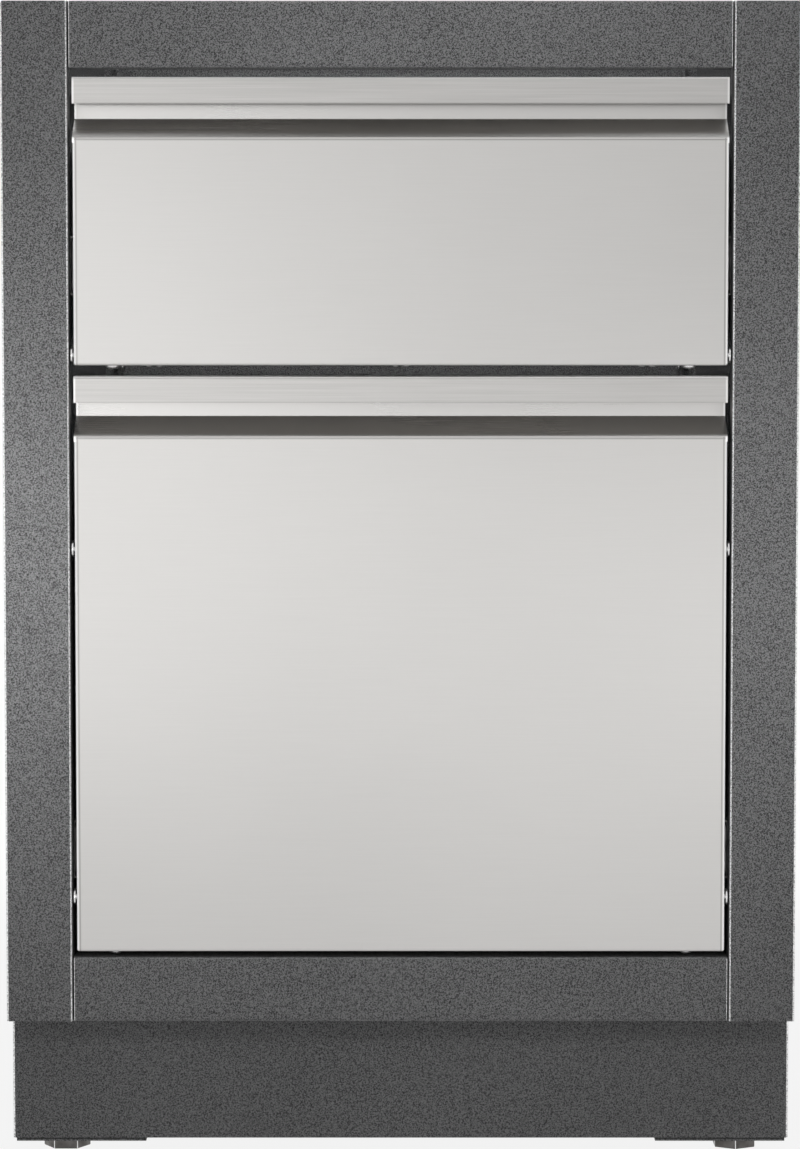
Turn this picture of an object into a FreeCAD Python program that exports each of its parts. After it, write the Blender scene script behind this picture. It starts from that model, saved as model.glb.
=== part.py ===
import FreeCAD, Part
import os
import re
import Sketcher

# Driving sizes in millimetres, by their names in the sheet
SIZES = {
    # Carcass
    "cabinet_width": 610,
    "cabinet_depth": 610,
    "frame_height": 785,
    "post_width": 51,
    "post_return": 25,
    "top_rail_height": 51,
    "bottom_rail_height": 50,
    "rail_return": 25,
    "seam": 1.1,
    "end_ease": 1,
    "panel_lap": 20,
    "side_return": 25,
    "back_return": 20,
    "sheet": 1.2,
    "bend_radius": 0.8,
    "fit_clearance": 0.2,
    "bracket_leg": 24,
    "bracket_corner": 8,
    "bracket_gauge": 2,
    # Plinth and feet
    "toe_kick_height": 102,
    "toe_kick_setback": 50,
    "toe_kick_return": 25,
    "foot_plate_length": 102,
    "foot_plate_inset": 2.4,
    "foot_plate_thickness": 3,
    "foot_inset": 37,
    "foot_height": 11,
    "foot_across_flats": 32,
    "foot_chamfer": 1.2,
    "stud_radius": 5,
    "stud_reach": 42,
    "stud_clearance": 0.05,
    "nut_across_flats": 17,
    "nut_height": 8,
    # Drawer fronts
    "side_gap": 3.5,
    "top_gap": 6.6,
    "middle_gap": 8.2,
    "bottom_gap": 4.4,
    "upper_front_height": 219.8,
    "lip_height": 20.2,
    "recess_back_height": 11.4,
    "slope_height": 14.4,
    "pull_depth": 26,
    "corner_relief": 4,
    # Drawer boxes
    "box_lift": 16,
    "box_length": 400,
    "upper_box_height": 150,
    "lower_box_height": 200,
    "box_flange": 15,
    "box_rim": 10,
    # Ball slides
    "slide_rise": 60,
    "slide_height": 45,
    "slide_thickness": 13,
    "slide_reach": 10,
    "slide_gauge": 1.2,
    "running_clearance": 0.3,
    "cage_gauge": 0.4,
    "cage_strip": 0.8,
    "cage_margin": 5,
    "ball_diameter": 2.7,
    "ball_line": 7,
    "liner_drop": 20.6,
    "liner_overrun": 6,
    # Trash bin
    "bin_width": 400,
    "bin_depth": 336,
    "bin_height": 400,
    "bin_draft": 14,
    "bin_wall": 2.5,
    "bin_corner": 30,
    "bin_rim_width": 12,
    "bin_rim_thickness": 4,
    "bin_stop_length": 280,
    "bin_stop_leg": 20,
    # Fasteners
    "hole_clearance": 0.05,
    "rivet_radius": 2.4,
    "rivet_head_radius": 4.5,
    "rivet_head_height": 1.6,
    "rivet_inset": 35,
    "runner_screw_radius": 2,
    "runner_screw_head_radius": 3.5,
    "runner_screw_head_height": 1.8,
    "runner_screw_inset": 60,
    "pan_screw_radius": 2.5,
    "pan_screw_head_radius": 5.5,
    "pan_screw_head_height": 3,
    "pan_screw_reach": 7,
    "pan_screw_inset": 29.5,
    "truss_screw_radius": 2.3,
    "truss_screw_head_radius": 6.5,
    "truss_screw_head_height": 2.8,
    "truss_screw_reach": 6,
    "truss_screw_rise": 8,
    "lower_screw_rise": 42,
    "lower_screw_pitch": 270,
    "front_fixing_inset": 9,
    "front_rivet_radius": 1.6,
    "front_rivet_head_radius": 2.6,
    "front_rivet_head_height": 1.2,
    "front_rivet_inset": 61.5,
    "front_rivet_pitch": 8,
    "back_screw_radius": 2.1,
    "back_screw_head_radius": 4.2,
    "back_screw_head_height": 2.4,
    "back_screw_reach": 8,
    "back_screw_inset": 60,
}
BALLS_PER_ROW = 5
BACK_SCREWS_PER_SIDE = 4
HEXAGON_SIDES = 6
TOUCH = 1e-4

# Heights and planes that follow from the driving sizes
HALF_WIDTH = "(cabinet_width / 2)"
FRONT = "(-cabinet_depth / 2)"
REAR = "(cabinet_depth / 2)"
PLINTH_BOTTOM = "(foot_height + foot_plate_thickness)"
FRAME_BOTTOM = f"({PLINTH_BOTTOM} + toe_kick_height)"
FRAME_TOP = f"({FRAME_BOTTOM} + frame_height)"
FLOOR_TOP = f"({FRAME_BOTTOM} + 2 * sheet)"
OPENING_BOTTOM = f"({FRAME_BOTTOM} + bottom_rail_height)"
OPENING_TOP = f"({FRAME_TOP} - top_rail_height)"
OPENING_HALF = f"({HALF_WIDTH} - post_width)"
LINER_FACE = f"({OPENING_HALF} + sheet)"
TOE_KICK_FACE = f"({FRONT} + toe_kick_setback)"

FRONT_HALF = f"({OPENING_HALF} - side_gap)"
FRONT_BACK = f"({FRONT} + pull_depth + sheet)"
BOX_START = f"({FRONT_BACK} + sheet)"
BOX_END = f"({BOX_START} + box_length)"
BOX_FACE = f"({LINER_FACE} - slide_thickness)"
BOX_INSIDE = f"({BOX_FACE} - sheet)"

UPPER_TOP = f"({OPENING_TOP} - top_gap)"
UPPER_BOTTOM = f"({UPPER_TOP} - upper_front_height)"
LOWER_TOP = f"({UPPER_BOTTOM} - middle_gap)"
LOWER_BOTTOM = f"({OPENING_BOTTOM} + bottom_gap)"
DRAWERS = {
    "upper": {"top": UPPER_TOP, "bottom": UPPER_BOTTOM, "box_height": "upper_box_height"},
    "lower": {"top": LOWER_TOP, "bottom": LOWER_BOTTOM, "box_height": "lower_box_height"},
}
SIDES = ("left", "right")

# Turns that lay a fastener's Z axis along X or down
ALONG = {
    "right": FreeCAD.Rotation(FreeCAD.Vector(0, 1, 0), 90),
    "left": FreeCAD.Rotation(FreeCAD.Vector(0, 1, 0), -90),
    "down": FreeCAD.Rotation(FreeCAD.Vector(1, 0, 0), 180),
}
INWARD = {"left": "right", "right": "left"}

doc = FreeCAD.newDocument("TrashDrawerCabinet")
sheet = doc.addObject("Spreadsheet::Sheet", "Sizes")
for row, (alias, size) in enumerate(SIZES.items(), start=1):
    sheet.set(f"A{row}", alias)
    sheet.set(f"B{row}", str(size))
    sheet.setAlias(f"B{row}", alias)
doc.recompute()

nodes = {}


def cells(expression):
    """Point each size named in an expression at its cell in the sheet."""
    return re.sub(
        r"[a-z_]+",
        lambda word: "Sizes." + word.group() if word.group() in SIZES else word.group(),
        expression,
    )


def bind(item, **expressions):
    """Bind an object's properties to expressions on the sheet's sizes."""
    for name, expression in expressions.items():
        item.setExpression(name, cells(expression))


def place(item, x="0", y="0", z="0"):
    """Bind an object's position to expressions on the sheet's sizes."""
    for axis, expression in zip("xyz", (x, y, z)):
        item.setExpression(f"Placement.Base.{axis}", cells(expression))
    return item


def keep(name, item):
    """Name a finished sub-part."""
    item.Label = name
    nodes[name] = item
    return item


def block(name, low, high):
    """A rectangular block between two corners."""
    item = doc.addObject("Part::Box", name)
    for side, near, far in zip(("Length", "Width", "Height"), low, high):
        item.setExpression(side, cells(f"({far}) - ({near})"))
    return place(item, *low)


def fused(name, pieces):
    """Several overlapping or touching shapes as one solid."""
    item = doc.addObject("Part::MultiFuse", name)
    item.Shapes = pieces
    item.Refine = True
    return item


def group(name, pieces):
    """Separate solids that share one node."""
    item = doc.addObject("Part::Compound", name)
    item.Links = pieces
    return item


def cut(name, base, tools):
    """A shape with other shapes taken out of it."""
    item = doc.addObject("Part::Cut", name)
    item.Base = base
    item.Tool = group(name + "_cutters", tools)
    return item


def on_side(side, distance):
    """An X position at a distance from the middle plane, on one side."""
    return distance if side == "right" else f"-({distance})"


def span(side, near, far):
    """The low and high X of a stretch that runs from near to far on one side."""
    return (near, far) if side == "right" else (f"-({far})", f"-({near})")


def channel(low, high, face, web, tip, gauge="sheet"):
    """Corners of a channel: a web from low to high at a face, with a return at each end to a tip.

    A corner with a third item is the outer or the inner side of a bend.
    """
    inner_low = f"({low}) + {gauge}"
    inner_high = f"({high}) - {gauge}"
    return [
        (low, tip), (low, face, "outer"), (high, face, "outer"), (high, tip),
        (inner_high, tip), (inner_high, web, "inner"), (inner_low, web, "inner"), (inner_low, tip),
    ]


def turned(outline):
    """An outline with its two axes exchanged."""
    return [(second, first, *bend) for first, second, *bend in outline]


def outline_sketch(body, role, name, outline, lift="0"):
    """A closed outline on one of a body's own planes, each corner bound to the sheet."""
    plane = next(item for item in body.Origin.OriginFeatures if item.Role == role)
    sketch = body.newObject("Sketcher::SketchObject", name + "_outline")
    sketch.AttachmentSupport = [(plane, "")]
    sketch.MapMode = "FlatFace"
    sketch.setExpression("AttachmentOffset.Base.z", cells(lift))
    count = len(outline)
    corners = [FreeCAD.Vector(number, number * number, 0) for number in range(count)]
    for number in range(count):
        sketch.addGeometry(Part.LineSegment(corners[number], corners[(number + 1) % count]), False)
    for number in range(count):
        sketch.addConstraint(Sketcher.Constraint("Coincident", number, 2, (number + 1) % count, 1))
    for number, corner in enumerate(outline):
        for kind, start, expression in zip(("DistanceX", "DistanceY"), corners[number], corner):
            index = sketch.addConstraint(Sketcher.Constraint(kind, -1, 1, number, 1, start))
            sketch.setExpression(f"Constraints[{index}]", cells(expression))
    return sketch


def padded(body, sketch, name, length, symmetric=False):
    """A sketch drawn out along its plane's normal, or along +Y from the XZ plane."""
    pad = body.newObject("PartDesign::Pad", name + "_pad")
    pad.Profile = sketch
    bind(pad, Length=length)
    pad.Reversed = "XZ_Plane" in sketch.AttachmentSupport[0][0].Role
    if symmetric:
        pad.SideType = "Symmetric"
    doc.recompute()
    return pad


def edges_through(shape, points, direction):
    """Names of the straight edges along a direction that pass through the given points."""
    names = []
    for number, edge in enumerate(shape.Edges, start=1):
        ends = [vertex.Point for vertex in edge.Vertexes]
        for point in points:
            if len(ends) == 2 and all((end - point).cross(direction).Length < TOUCH for end in ends):
                names.append(f"Edge{number}")
    return names


def rounded(body, base, names, radius, kind="PartDesign::Fillet", size="Radius"):
    """A fillet, or a chamfer, on some edges of a body's last feature."""
    feature = body.newObject(kind, base.Name + "_round")
    feature.Base = (base, names)
    bind(feature, **{size: radius})
    doc.recompute()
    return feature


BENDS = {"outer": "sheet + bend_radius", "inner": "bend_radius"}


def folded(name, role, outline, length, symmetric=False):
    """A bent sheet: an outline drawn out to a length, with its bends rounded."""
    body = doc.addObject("PartDesign::Body", name)
    sketch = outline_sketch(body, role, name, outline)
    last = padded(body, sketch, name, length, symmetric)
    normal = sketch.Placement.Rotation.multVec(FreeCAD.Vector(0, 0, 1))
    for bend, radius in BENDS.items():
        lines = [line for line, corner in zip(sketch.Geometry, outline) if bend in corner]
        if lines:
            points = [sketch.Placement.multVec(line.StartPoint) for line in lines]
            last = rounded(body, last, edges_through(last.Shape, points, normal), radius)
    return body


def rod(name, heading, start, radius, length):
    """A round bar from a start point, along a heading."""
    item = doc.addObject("Part::Cylinder", name)
    bind(item, Radius=radius, Height=length)
    if heading in ALONG:
        item.Placement = FreeCAD.Placement(FreeCAD.Vector(), ALONG[heading])
    return place(item, *start)


def fastener(name, heading, seat, kind, length):
    """A domed head on its seat, with a shank that runs along the heading."""
    dome = f"(({kind}_head_radius ^ 2 + {kind}_head_height ^ 2) / (2 * {kind}_head_height))"
    head = doc.addObject("Part::Sphere", name + "_head")
    bind(head, Radius=dome, Angle1=f"asin(1 - {kind}_head_height / {dome})")
    drop = f"({dome} - {kind}_head_height)"
    x, y, z = seat
    if heading == "up":
        head.Placement = FreeCAD.Placement(FreeCAD.Vector(), ALONG["down"])
        place(head, x, y, f"{z} + {drop}")
    else:
        head.Placement = FreeCAD.Placement(FreeCAD.Vector(), ALONG[INWARD[heading]])
        place(head, f"{x} + {drop}" if heading == "right" else f"{x} - {drop}", y, z)
    shank = rod(name + "_shank", heading, seat, f"{kind}_radius", length)
    return fused(name, [head, shank])


def fixing_hole(name, heading, seat, kind, length):
    """The hole that a fastener's shank passes through."""
    return rod(name, heading, seat, f"{kind}_radius + hole_clearance", length)


# Corner posts: upright channels with the web to the front or to the rear
ENDS = {
    "front": {"face": FRONT, "web": f"{FRONT} + sheet", "inward": "+"},
    "rear": {"face": REAR, "web": f"{REAR} - sheet", "inward": "-"},
}


def post(end, side):
    """One corner post, standing on the plinth."""
    plan = ENDS[end]
    low, high = span(side, OPENING_HALF, HALF_WIDTH)
    tip = f"{plan['face']} {plan['inward']} post_return"
    outline = channel(low, high, plan["face"], plan["web"], tip)
    item = folded(f"{end}_{side}_channel", "XY_Plane", outline, "frame_height")
    return place(item, z=FRAME_BOTTOM)


# Back panel screws, at even steps up each side
BACK_BOTTOM = f"({OPENING_BOTTOM} + seam)"
BACK_TOP = f"({OPENING_TOP} - seam)"
BACK_HALF = f"({OPENING_HALF} - seam)"


def back_screw_seat(side, number):
    """Where a back panel screw's head sits, on the inside of the panel's side return."""
    first = f"({BACK_BOTTOM} + back_screw_inset)"
    last = f"({BACK_TOP} - back_screw_inset)"
    height = f"{first} + ({last} - {first}) * {number} / {BACK_SCREWS_PER_SIDE - 1}"
    return on_side(side, f"({BACK_HALF} - sheet)"), f"{REAR} - back_return / 2", height


back_screws = []
back_screw_holes = []
for side in SIDES:
    keep(f"front_{side}_post", post("front", side))
    holes = []
    for number in range(BACK_SCREWS_PER_SIDE):
        seat = back_screw_seat(side, number)
        place_name = f"{side}_{number}"
        back_screws.append(fastener("back_screw_" + place_name, side, seat, "back_screw", "back_screw_reach"))
        holes.append(fixing_hole("back_hole_" + place_name, side, seat, "back_screw", "back_screw_reach"))
    back_screw_holes += holes
    keep(f"rear_{side}_post", cut(f"rear_{side}_post", post("rear", side), holes))
keep("back_panel_screws", group("back_panel_screws", back_screws))


# Cross rails: channels between the posts, open to the inside of the cabinet, with their cut ends eased
RAILS = {
    "top": (OPENING_TOP, FRAME_TOP),
    "bottom": (FRAME_BOTTOM, OPENING_BOTTOM),
}


def eased_ends(rail, end):
    """Ease the outer edge of a rail's two cut ends."""
    box = rail.Shape.BoundBox
    face = box.YMin if end == "front" else box.YMax
    corners = [FreeCAD.Vector(x, face, box.ZMin) for x in (box.XMin, box.XMax)]
    rounded(rail, rail.Tip, edges_through(rail.Shape, corners, FreeCAD.Vector(0, 0, 1)), "end_ease")
    return rail


for end, plan in ENDS.items():
    for level, (low, high) in RAILS.items():
        tip = f"{plan['face']} {plan['inward']} rail_return"
        outline = turned(channel(low, high, plan["face"], plan["web"], tip))
        length = f"2 * ({OPENING_HALF} - seam)"
        name = f"{end}_{level}_rail"
        rail = folded(name, "YZ_Plane", outline, length, symmetric=True)
        keep(name, eased_ends(rail, end))


# Corner brackets: one angle in each rail end, welded to the rail's web and the post's inner return, with its
# corner folded across so that it keeps clear of the open seam
BRACKET_LEVELS = {
    "top": (f"{OPENING_TOP} + sheet + bend_radius", f"{FRAME_TOP} - sheet - bend_radius"),
    "bottom": (f"{FLOOR_TOP} + fit_clearance", f"{OPENING_BOTTOM} - sheet - bend_radius"),
}
BRACKET_REACH = "(rail_return - sheet)"
INNER_CORNER = "(bracket_corner + bracket_gauge * (sqrt(2) - 1))"
# Corners of the angle, as distances from the post's return and from the rail's web
BRACKET_CORNERS = [
    ("bracket_leg", "0"), ("bracket_corner", "0"), ("0", "bracket_corner"), ("0", BRACKET_REACH),
    ("bracket_gauge", BRACKET_REACH), ("bracket_gauge", INNER_CORNER), (INNER_CORNER, "bracket_gauge"),
    ("bracket_leg", "bracket_gauge"),
]
brackets = []
for side in SIDES:
    for end, plan in ENDS.items():
        outline = [
            (on_side(side, f"({OPENING_HALF} - {along})"), f"{plan['web']} {plan['inward']} {away}")
            for along, away in BRACKET_CORNERS
        ]
        for level, (low, high) in BRACKET_LEVELS.items():
            bracket = folded(f"{end}_{side}_{level}_bracket", "XY_Plane", outline, f"{high} - ({low})")
            brackets.append(place(bracket, z=low))
keep("corner_brackets", group("corner_brackets", brackets))


# Side panels: bent sheets with a return at the top and at the bottom, lapped inside the posts
for side in SIDES:
    face = on_side(side, f"{HALF_WIDTH} - sheet")
    web = on_side(side, f"{HALF_WIDTH} - 2 * sheet")
    tip = on_side(side, f"{HALF_WIDTH} - sheet - side_return")
    outline = turned(channel(FRAME_BOTTOM, FRAME_TOP, face, web, tip))
    length = "cabinet_depth - 2 * (post_return - panel_lap)"
    panel = folded(f"{side}_panel", "XZ_Plane", outline, length)
    keep(f"{side}_side_panel", place(panel, y=f"{FRONT} + post_return - panel_lap"))


# Back panel: a shallow tray between the rear posts and rails, screwed through its side returns
tray = block(
    "back_tray",
    (f"-{BACK_HALF}", f"{REAR} - back_return", BACK_BOTTOM),
    (BACK_HALF, REAR, BACK_TOP),
)
tray_hollow = block(
    "back_hollow",
    (f"-{BACK_HALF} + sheet", f"{REAR} - back_return", f"{BACK_BOTTOM} + sheet"),
    (f"{BACK_HALF} - sheet", f"{REAR} - sheet", f"{BACK_TOP} - sheet"),
)
keep("back_panel", cut("back_panel", tray, [tray_hollow] + back_screw_holes))


# Floor panel: laid on the bottom returns of the rails and side panels, notched round the posts
FLOOR_HALF = f"({HALF_WIDTH} - 2 * sheet - bend_radius)"
FLOOR_REACH = f"({REAR} - sheet - bend_radius)"
NOTCH_HALF = f"({OPENING_HALF} - fit_clearance)"
NOTCH_REACH = f"({REAR} - post_return - fit_clearance)"
floor = block(
    "floor_blank",
    (f"-{FLOOR_HALF}", f"-{FLOOR_REACH}", f"{FRAME_BOTTOM} + sheet"),
    (FLOOR_HALF, FLOOR_REACH, FLOOR_TOP),
)
notches = []
for side in SIDES:
    x_low, x_high = span(side, NOTCH_HALF, HALF_WIDTH)
    for y_low, y_high in ((f"-{REAR}", f"-{NOTCH_REACH}"), (NOTCH_REACH, REAR)):
        notches.append(block(f"{side}_notch", (x_low, y_low, FRAME_BOTTOM), (x_high, y_high, OPENING_BOTTOM)))
keep("floor_panel", cut("floor_panel", floor, notches))


# Plinth: the toe kick and the rear plinth wrap round the ends of two side channels
PLINTH_WALLS = {
    "toe_kick": (TOE_KICK_FACE, "+"),
    "rear_plinth": (REAR, "-"),
}
for name, (face, inward) in PLINTH_WALLS.items():
    outline = channel(
        f"-{HALF_WIDTH}", HALF_WIDTH, face, f"{face} {inward} sheet", f"{face} {inward} toe_kick_return"
    )
    wall = folded(name, "XY_Plane", outline, "toe_kick_height")
    keep(name, place(wall, z=PLINTH_BOTTOM))
for side in SIDES:
    face = on_side(side, f"{HALF_WIDTH} - sheet")
    web = on_side(side, f"{HALF_WIDTH} - 2 * sheet")
    tip = on_side(side, f"{HALF_WIDTH} - sheet - side_return")
    outline = turned(channel(PLINTH_BOTTOM, FRAME_BOTTOM, face, web, tip))
    bend_room = "(sheet + bend_radius + fit_clearance)"
    length = f"cabinet_depth - toe_kick_setback - 2 * {bend_room}"
    name = f"{side}_plinth"
    wall = folded(name, "XZ_Plane", outline, length)
    keep(name, place(wall, y=f"{TOE_KICK_FACE} + {bend_room}"))


# Foot plates under the plinth's corners, each with a nut on top and a screw-in hexagonal foot
PLATE_OUTER = f"({HALF_WIDTH} - foot_plate_inset)"
PLATE_FRONT = f"({TOE_KICK_FACE} + foot_plate_inset)"
PLATE_REAR = f"({REAR} - foot_plate_inset)"
CORNERS = {
    "front": (PLATE_FRONT, f"{PLATE_FRONT} + foot_plate_length", f"{PLATE_FRONT} + foot_inset"),
    "rear": (f"{PLATE_REAR} - foot_plate_length", PLATE_REAR, f"{PLATE_REAR} - foot_inset"),
}
FOOT_TURNS = {"left": 0, "right": 30}


def hexagon(across_flats):
    """The six corners of a hexagon, from its size across the flats."""
    corner = f"{across_flats} / sqrt(3)"
    turns = [f"{360 / HEXAGON_SIDES * number} deg" for number in range(HEXAGON_SIDES)]
    return [(f"{corner} * cos({turn})", f"{corner} * sin({turn})") for turn in turns]


def levelling_foot(name):
    """A hexagonal foot with a threaded stud, as one turned piece."""
    body = doc.addObject("PartDesign::Body", name)
    outline = outline_sketch(body, "XY_Plane", name, hexagon("foot_across_flats"))
    base = padded(body, outline, name, "foot_height")
    rims = [f"Edge{number}" for number, edge in enumerate(base.Shape.Edges, start=1)
            if abs(edge.Vertexes[0].Z - edge.Vertexes[1].Z) < TOUCH]
    rounded(body, base, rims, "foot_chamfer", "PartDesign::Chamfer", "Size")
    stud = rod(name + "_stud", "up", ("0", "0", "0"), "stud_radius", "foot_height + stud_reach")
    return fused(name, [body, stud])


plates = []
nuts = []
for end, (y_low, y_high, y_foot) in CORNERS.items():
    for side in SIDES:
        x_low, x_high = span(side, f"{PLATE_OUTER} - foot_plate_length", PLATE_OUTER)
        x_foot = on_side(side, f"{PLATE_OUTER} - foot_inset")
        corner = f"{end}_{side}"
        stud_hole = rod(
            corner + "_stud_hole", "up", (x_foot, y_foot, "0"), "stud_radius + stud_clearance", FRAME_BOTTOM
        )
        plate = block(corner + "_plate", (x_low, y_low, "foot_height"), (x_high, y_high, PLINTH_BOTTOM))
        plates.append(cut(corner + "_foot_plate", plate, [stud_hole]))
        nut = doc.addObject("Part::Prism", corner + "_nut_blank")
        nut.Polygon = HEXAGON_SIDES
        bind(nut, Circumradius="nut_across_flats / sqrt(3)", Height="nut_height")
        place(nut, x_foot, y_foot, PLINTH_BOTTOM)
        nuts.append(cut(corner + "_nut", nut, [stud_hole]))
        foot = levelling_foot(corner + "_foot")
        turn = FreeCAD.Rotation(FreeCAD.Vector(0, 0, 1), FOOT_TURNS[side])
        foot.Placement = FreeCAD.Placement(FreeCAD.Vector(), turn)
        keep(corner + "_foot", place(foot, x_foot, y_foot))
keep("foot_plates", group("foot_plates", plates))
keep("foot_nuts", group("foot_nuts", nuts))


# Ball slides: three nested channels on each side of a drawer, as long as its box, which they let out by that
# length. The cage in each space between travels at the mean of its neighbours.
BALL_SPACE = "(ball_diameter + 2 * running_clearance)"
CAGE_SPACE = "(cage_gauge + 2 * running_clearance)"
OUTER_HALF = "(slide_height / 2)"
MIDDLE_HALF = f"({OUTER_HALF} - slide_gauge - {BALL_SPACE})"
RUNNER_HALF = f"({MIDDLE_HALF} - slide_gauge - {BALL_SPACE})"
OUTER_CAGE_WEB = "(slide_gauge + running_clearance)"
MIDDLE_WEB = f"(slide_gauge + {CAGE_SPACE})"
INNER_CAGE_WEB = f"({MIDDLE_WEB} + slide_gauge + running_clearance)"
RUNNER_TIP = f"({INNER_CAGE_WEB} + cage_gauge + 2 * running_clearance)"
CAGE_FRONT = f"({BOX_START} + box_length / 4 + cage_margin)"
CAGE_LENGTH = "(box_length / 2 - 2 * cage_margin)"


def slide_channel(name, side, height, half, face, web, tip, gauge, start, length):
    """A channel along the slide, with its depths measured inwards from the liner."""
    depths = [on_side(side, f"{LINER_FACE} - {depth}") for depth in (face, web, tip)]
    bent = turned(channel(f"{height} - {half}", f"{height} + {half}", *depths, gauge=gauge))
    outline = [(x, z) for x, z, *bend in bent]
    return place(folded(name, "XZ_Plane", outline, length), y=start)


def ball_cage(name, side, height, row, web):
    """A cage that carries an upper and a lower row of balls between two members."""
    half = f"({row} + cage_strip / 2)"
    tip = "(slide_reach - slide_gauge)"
    strip = slide_channel(
        name + "_strip", side, height, half, web, f"({web} + cage_gauge)", tip, "cage_strip",
        CAGE_FRONT, CAGE_LENGTH,
    )
    pieces = [strip]
    for sign in "+-":
        for number in range(BALLS_PER_ROW):
            ball = doc.addObject("Part::Sphere", f"{name}_ball")
            bind(ball, Radius="ball_diameter / 2")
            along = f"{CAGE_FRONT} + {CAGE_LENGTH} * ({number} + 0.5) / {BALLS_PER_ROW}"
            place(ball, on_side(side, f"{LINER_FACE} - ball_line"), along, f"{height} {sign} {row}")
            pieces.append(ball)
    return fused(name, pieces)


def slide_fixings(inset):
    """The places of a slide member's two fixings along its length."""
    return f"{BOX_START} + {inset}", f"{BOX_END} - {inset}"


liner_holes = {side: [] for side in SIDES}
slide_rivets = []
for drawer, plan in DRAWERS.items():
    height = f"({plan['bottom']} + box_lift + slide_rise)"
    plan["runner_screws"] = []
    plan["runner_holes"] = {side: [] for side in SIDES}
    middles = []
    outer_cages = []
    inner_cages = []
    for side in SIDES:
        name = f"{drawer}_{side}"
        outer = slide_channel(
            name + "_outer", side, height, OUTER_HALF, "0", "slide_gauge", "slide_reach", "slide_gauge",
            BOX_START, "box_length",
        )
        holes = []
        shank = "(slide_gauge + sheet)"
        for y in slide_fixings("rivet_inset"):
            seat = on_side(side, f"({LINER_FACE} + sheet)"), y, height
            slide_rivets.append(fastener(name + "_rivet", INWARD[side], seat, "rivet", shank))
            holes.append(fixing_hole(name + "_rivet_hole", INWARD[side], seat, "rivet", shank))
        liner_holes[side] += holes
        keep(f"{drawer}_{side}_slide_rail", cut(name + "_slide_rail", outer, holes))

        middles.append(slide_channel(
            name + "_middle", side, height, MIDDLE_HALF, MIDDLE_WEB, f"({MIDDLE_WEB} + slide_gauge)",
            "slide_reach", "slide_gauge", BOX_START, "box_length",
        ))
        outer_row = f"({OUTER_HALF} - slide_gauge - {BALL_SPACE} / 2)"
        inner_row = f"({MIDDLE_HALF} - slide_gauge - {BALL_SPACE} / 2)"
        outer_cages.append(ball_cage(name + "_outer_cage", side, height, outer_row, OUTER_CAGE_WEB))
        inner_cages.append(ball_cage(name + "_inner_cage", side, height, inner_row, INNER_CAGE_WEB))

        runner = slide_channel(
            name + "_inner", side, height, RUNNER_HALF, "slide_thickness", "(slide_thickness - slide_gauge)",
            RUNNER_TIP, "slide_gauge", BOX_START, "box_length",
        )
        shank = "(sheet + slide_gauge)"
        for y in slide_fixings("runner_screw_inset"):
            seat = on_side(side, BOX_INSIDE), y, height
            plan["runner_screws"].append(fastener(name + "_runner_screw", side, seat, "runner_screw", shank))
            hole = fixing_hole(name + "_runner_hole", side, seat, "runner_screw", shank)
            plan["runner_holes"][side].append(hole)
        keep(f"{drawer}_{side}_runner", cut(name + "_runner", runner, plan["runner_holes"][side]))
    keep(f"{drawer}_slide_middles", group(f"{drawer}_slide_middles", middles))
    keep(f"{drawer}_outer_ball_cages", group(f"{drawer}_outer_ball_cages", outer_cages))
    keep(f"{drawer}_inner_ball_cages", group(f"{drawer}_inner_ball_cages", inner_cages))
    keep(f"{drawer}_runner_screws", group(f"{drawer}_runner_screws", plan["runner_screws"]))
keep("slide_rivets", group("slide_rivets", slide_rivets))


# Slide liners: bent sheets inside the posts that carry the slides, stayed to the side panels at the back
for side in SIDES:
    start = f"{FRONT} + post_return - panel_lap"
    end = f"({BOX_END} + liner_overrun)"
    near = on_side(side, LINER_FACE)
    far = on_side(side, f"{LINER_FACE} + sheet")
    wall = on_side(side, f"{HALF_WIDTH} - 2 * sheet")
    outline = [
        (near, start), (near, end, "outer"), (wall, end),
        (wall, f"{end} - sheet"), (far, f"{end} - sheet", "inner"), (far, start),
    ]
    height = f"{FRAME_TOP} - liner_drop - {FLOOR_TOP}"
    liner = folded(f"{side}_liner", "XY_Plane", outline, height)
    place(liner, z=FLOOR_TOP)
    keep(f"{side}_slide_liner", cut(f"{side}_slide_liner", liner, liner_holes[side]))


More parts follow.
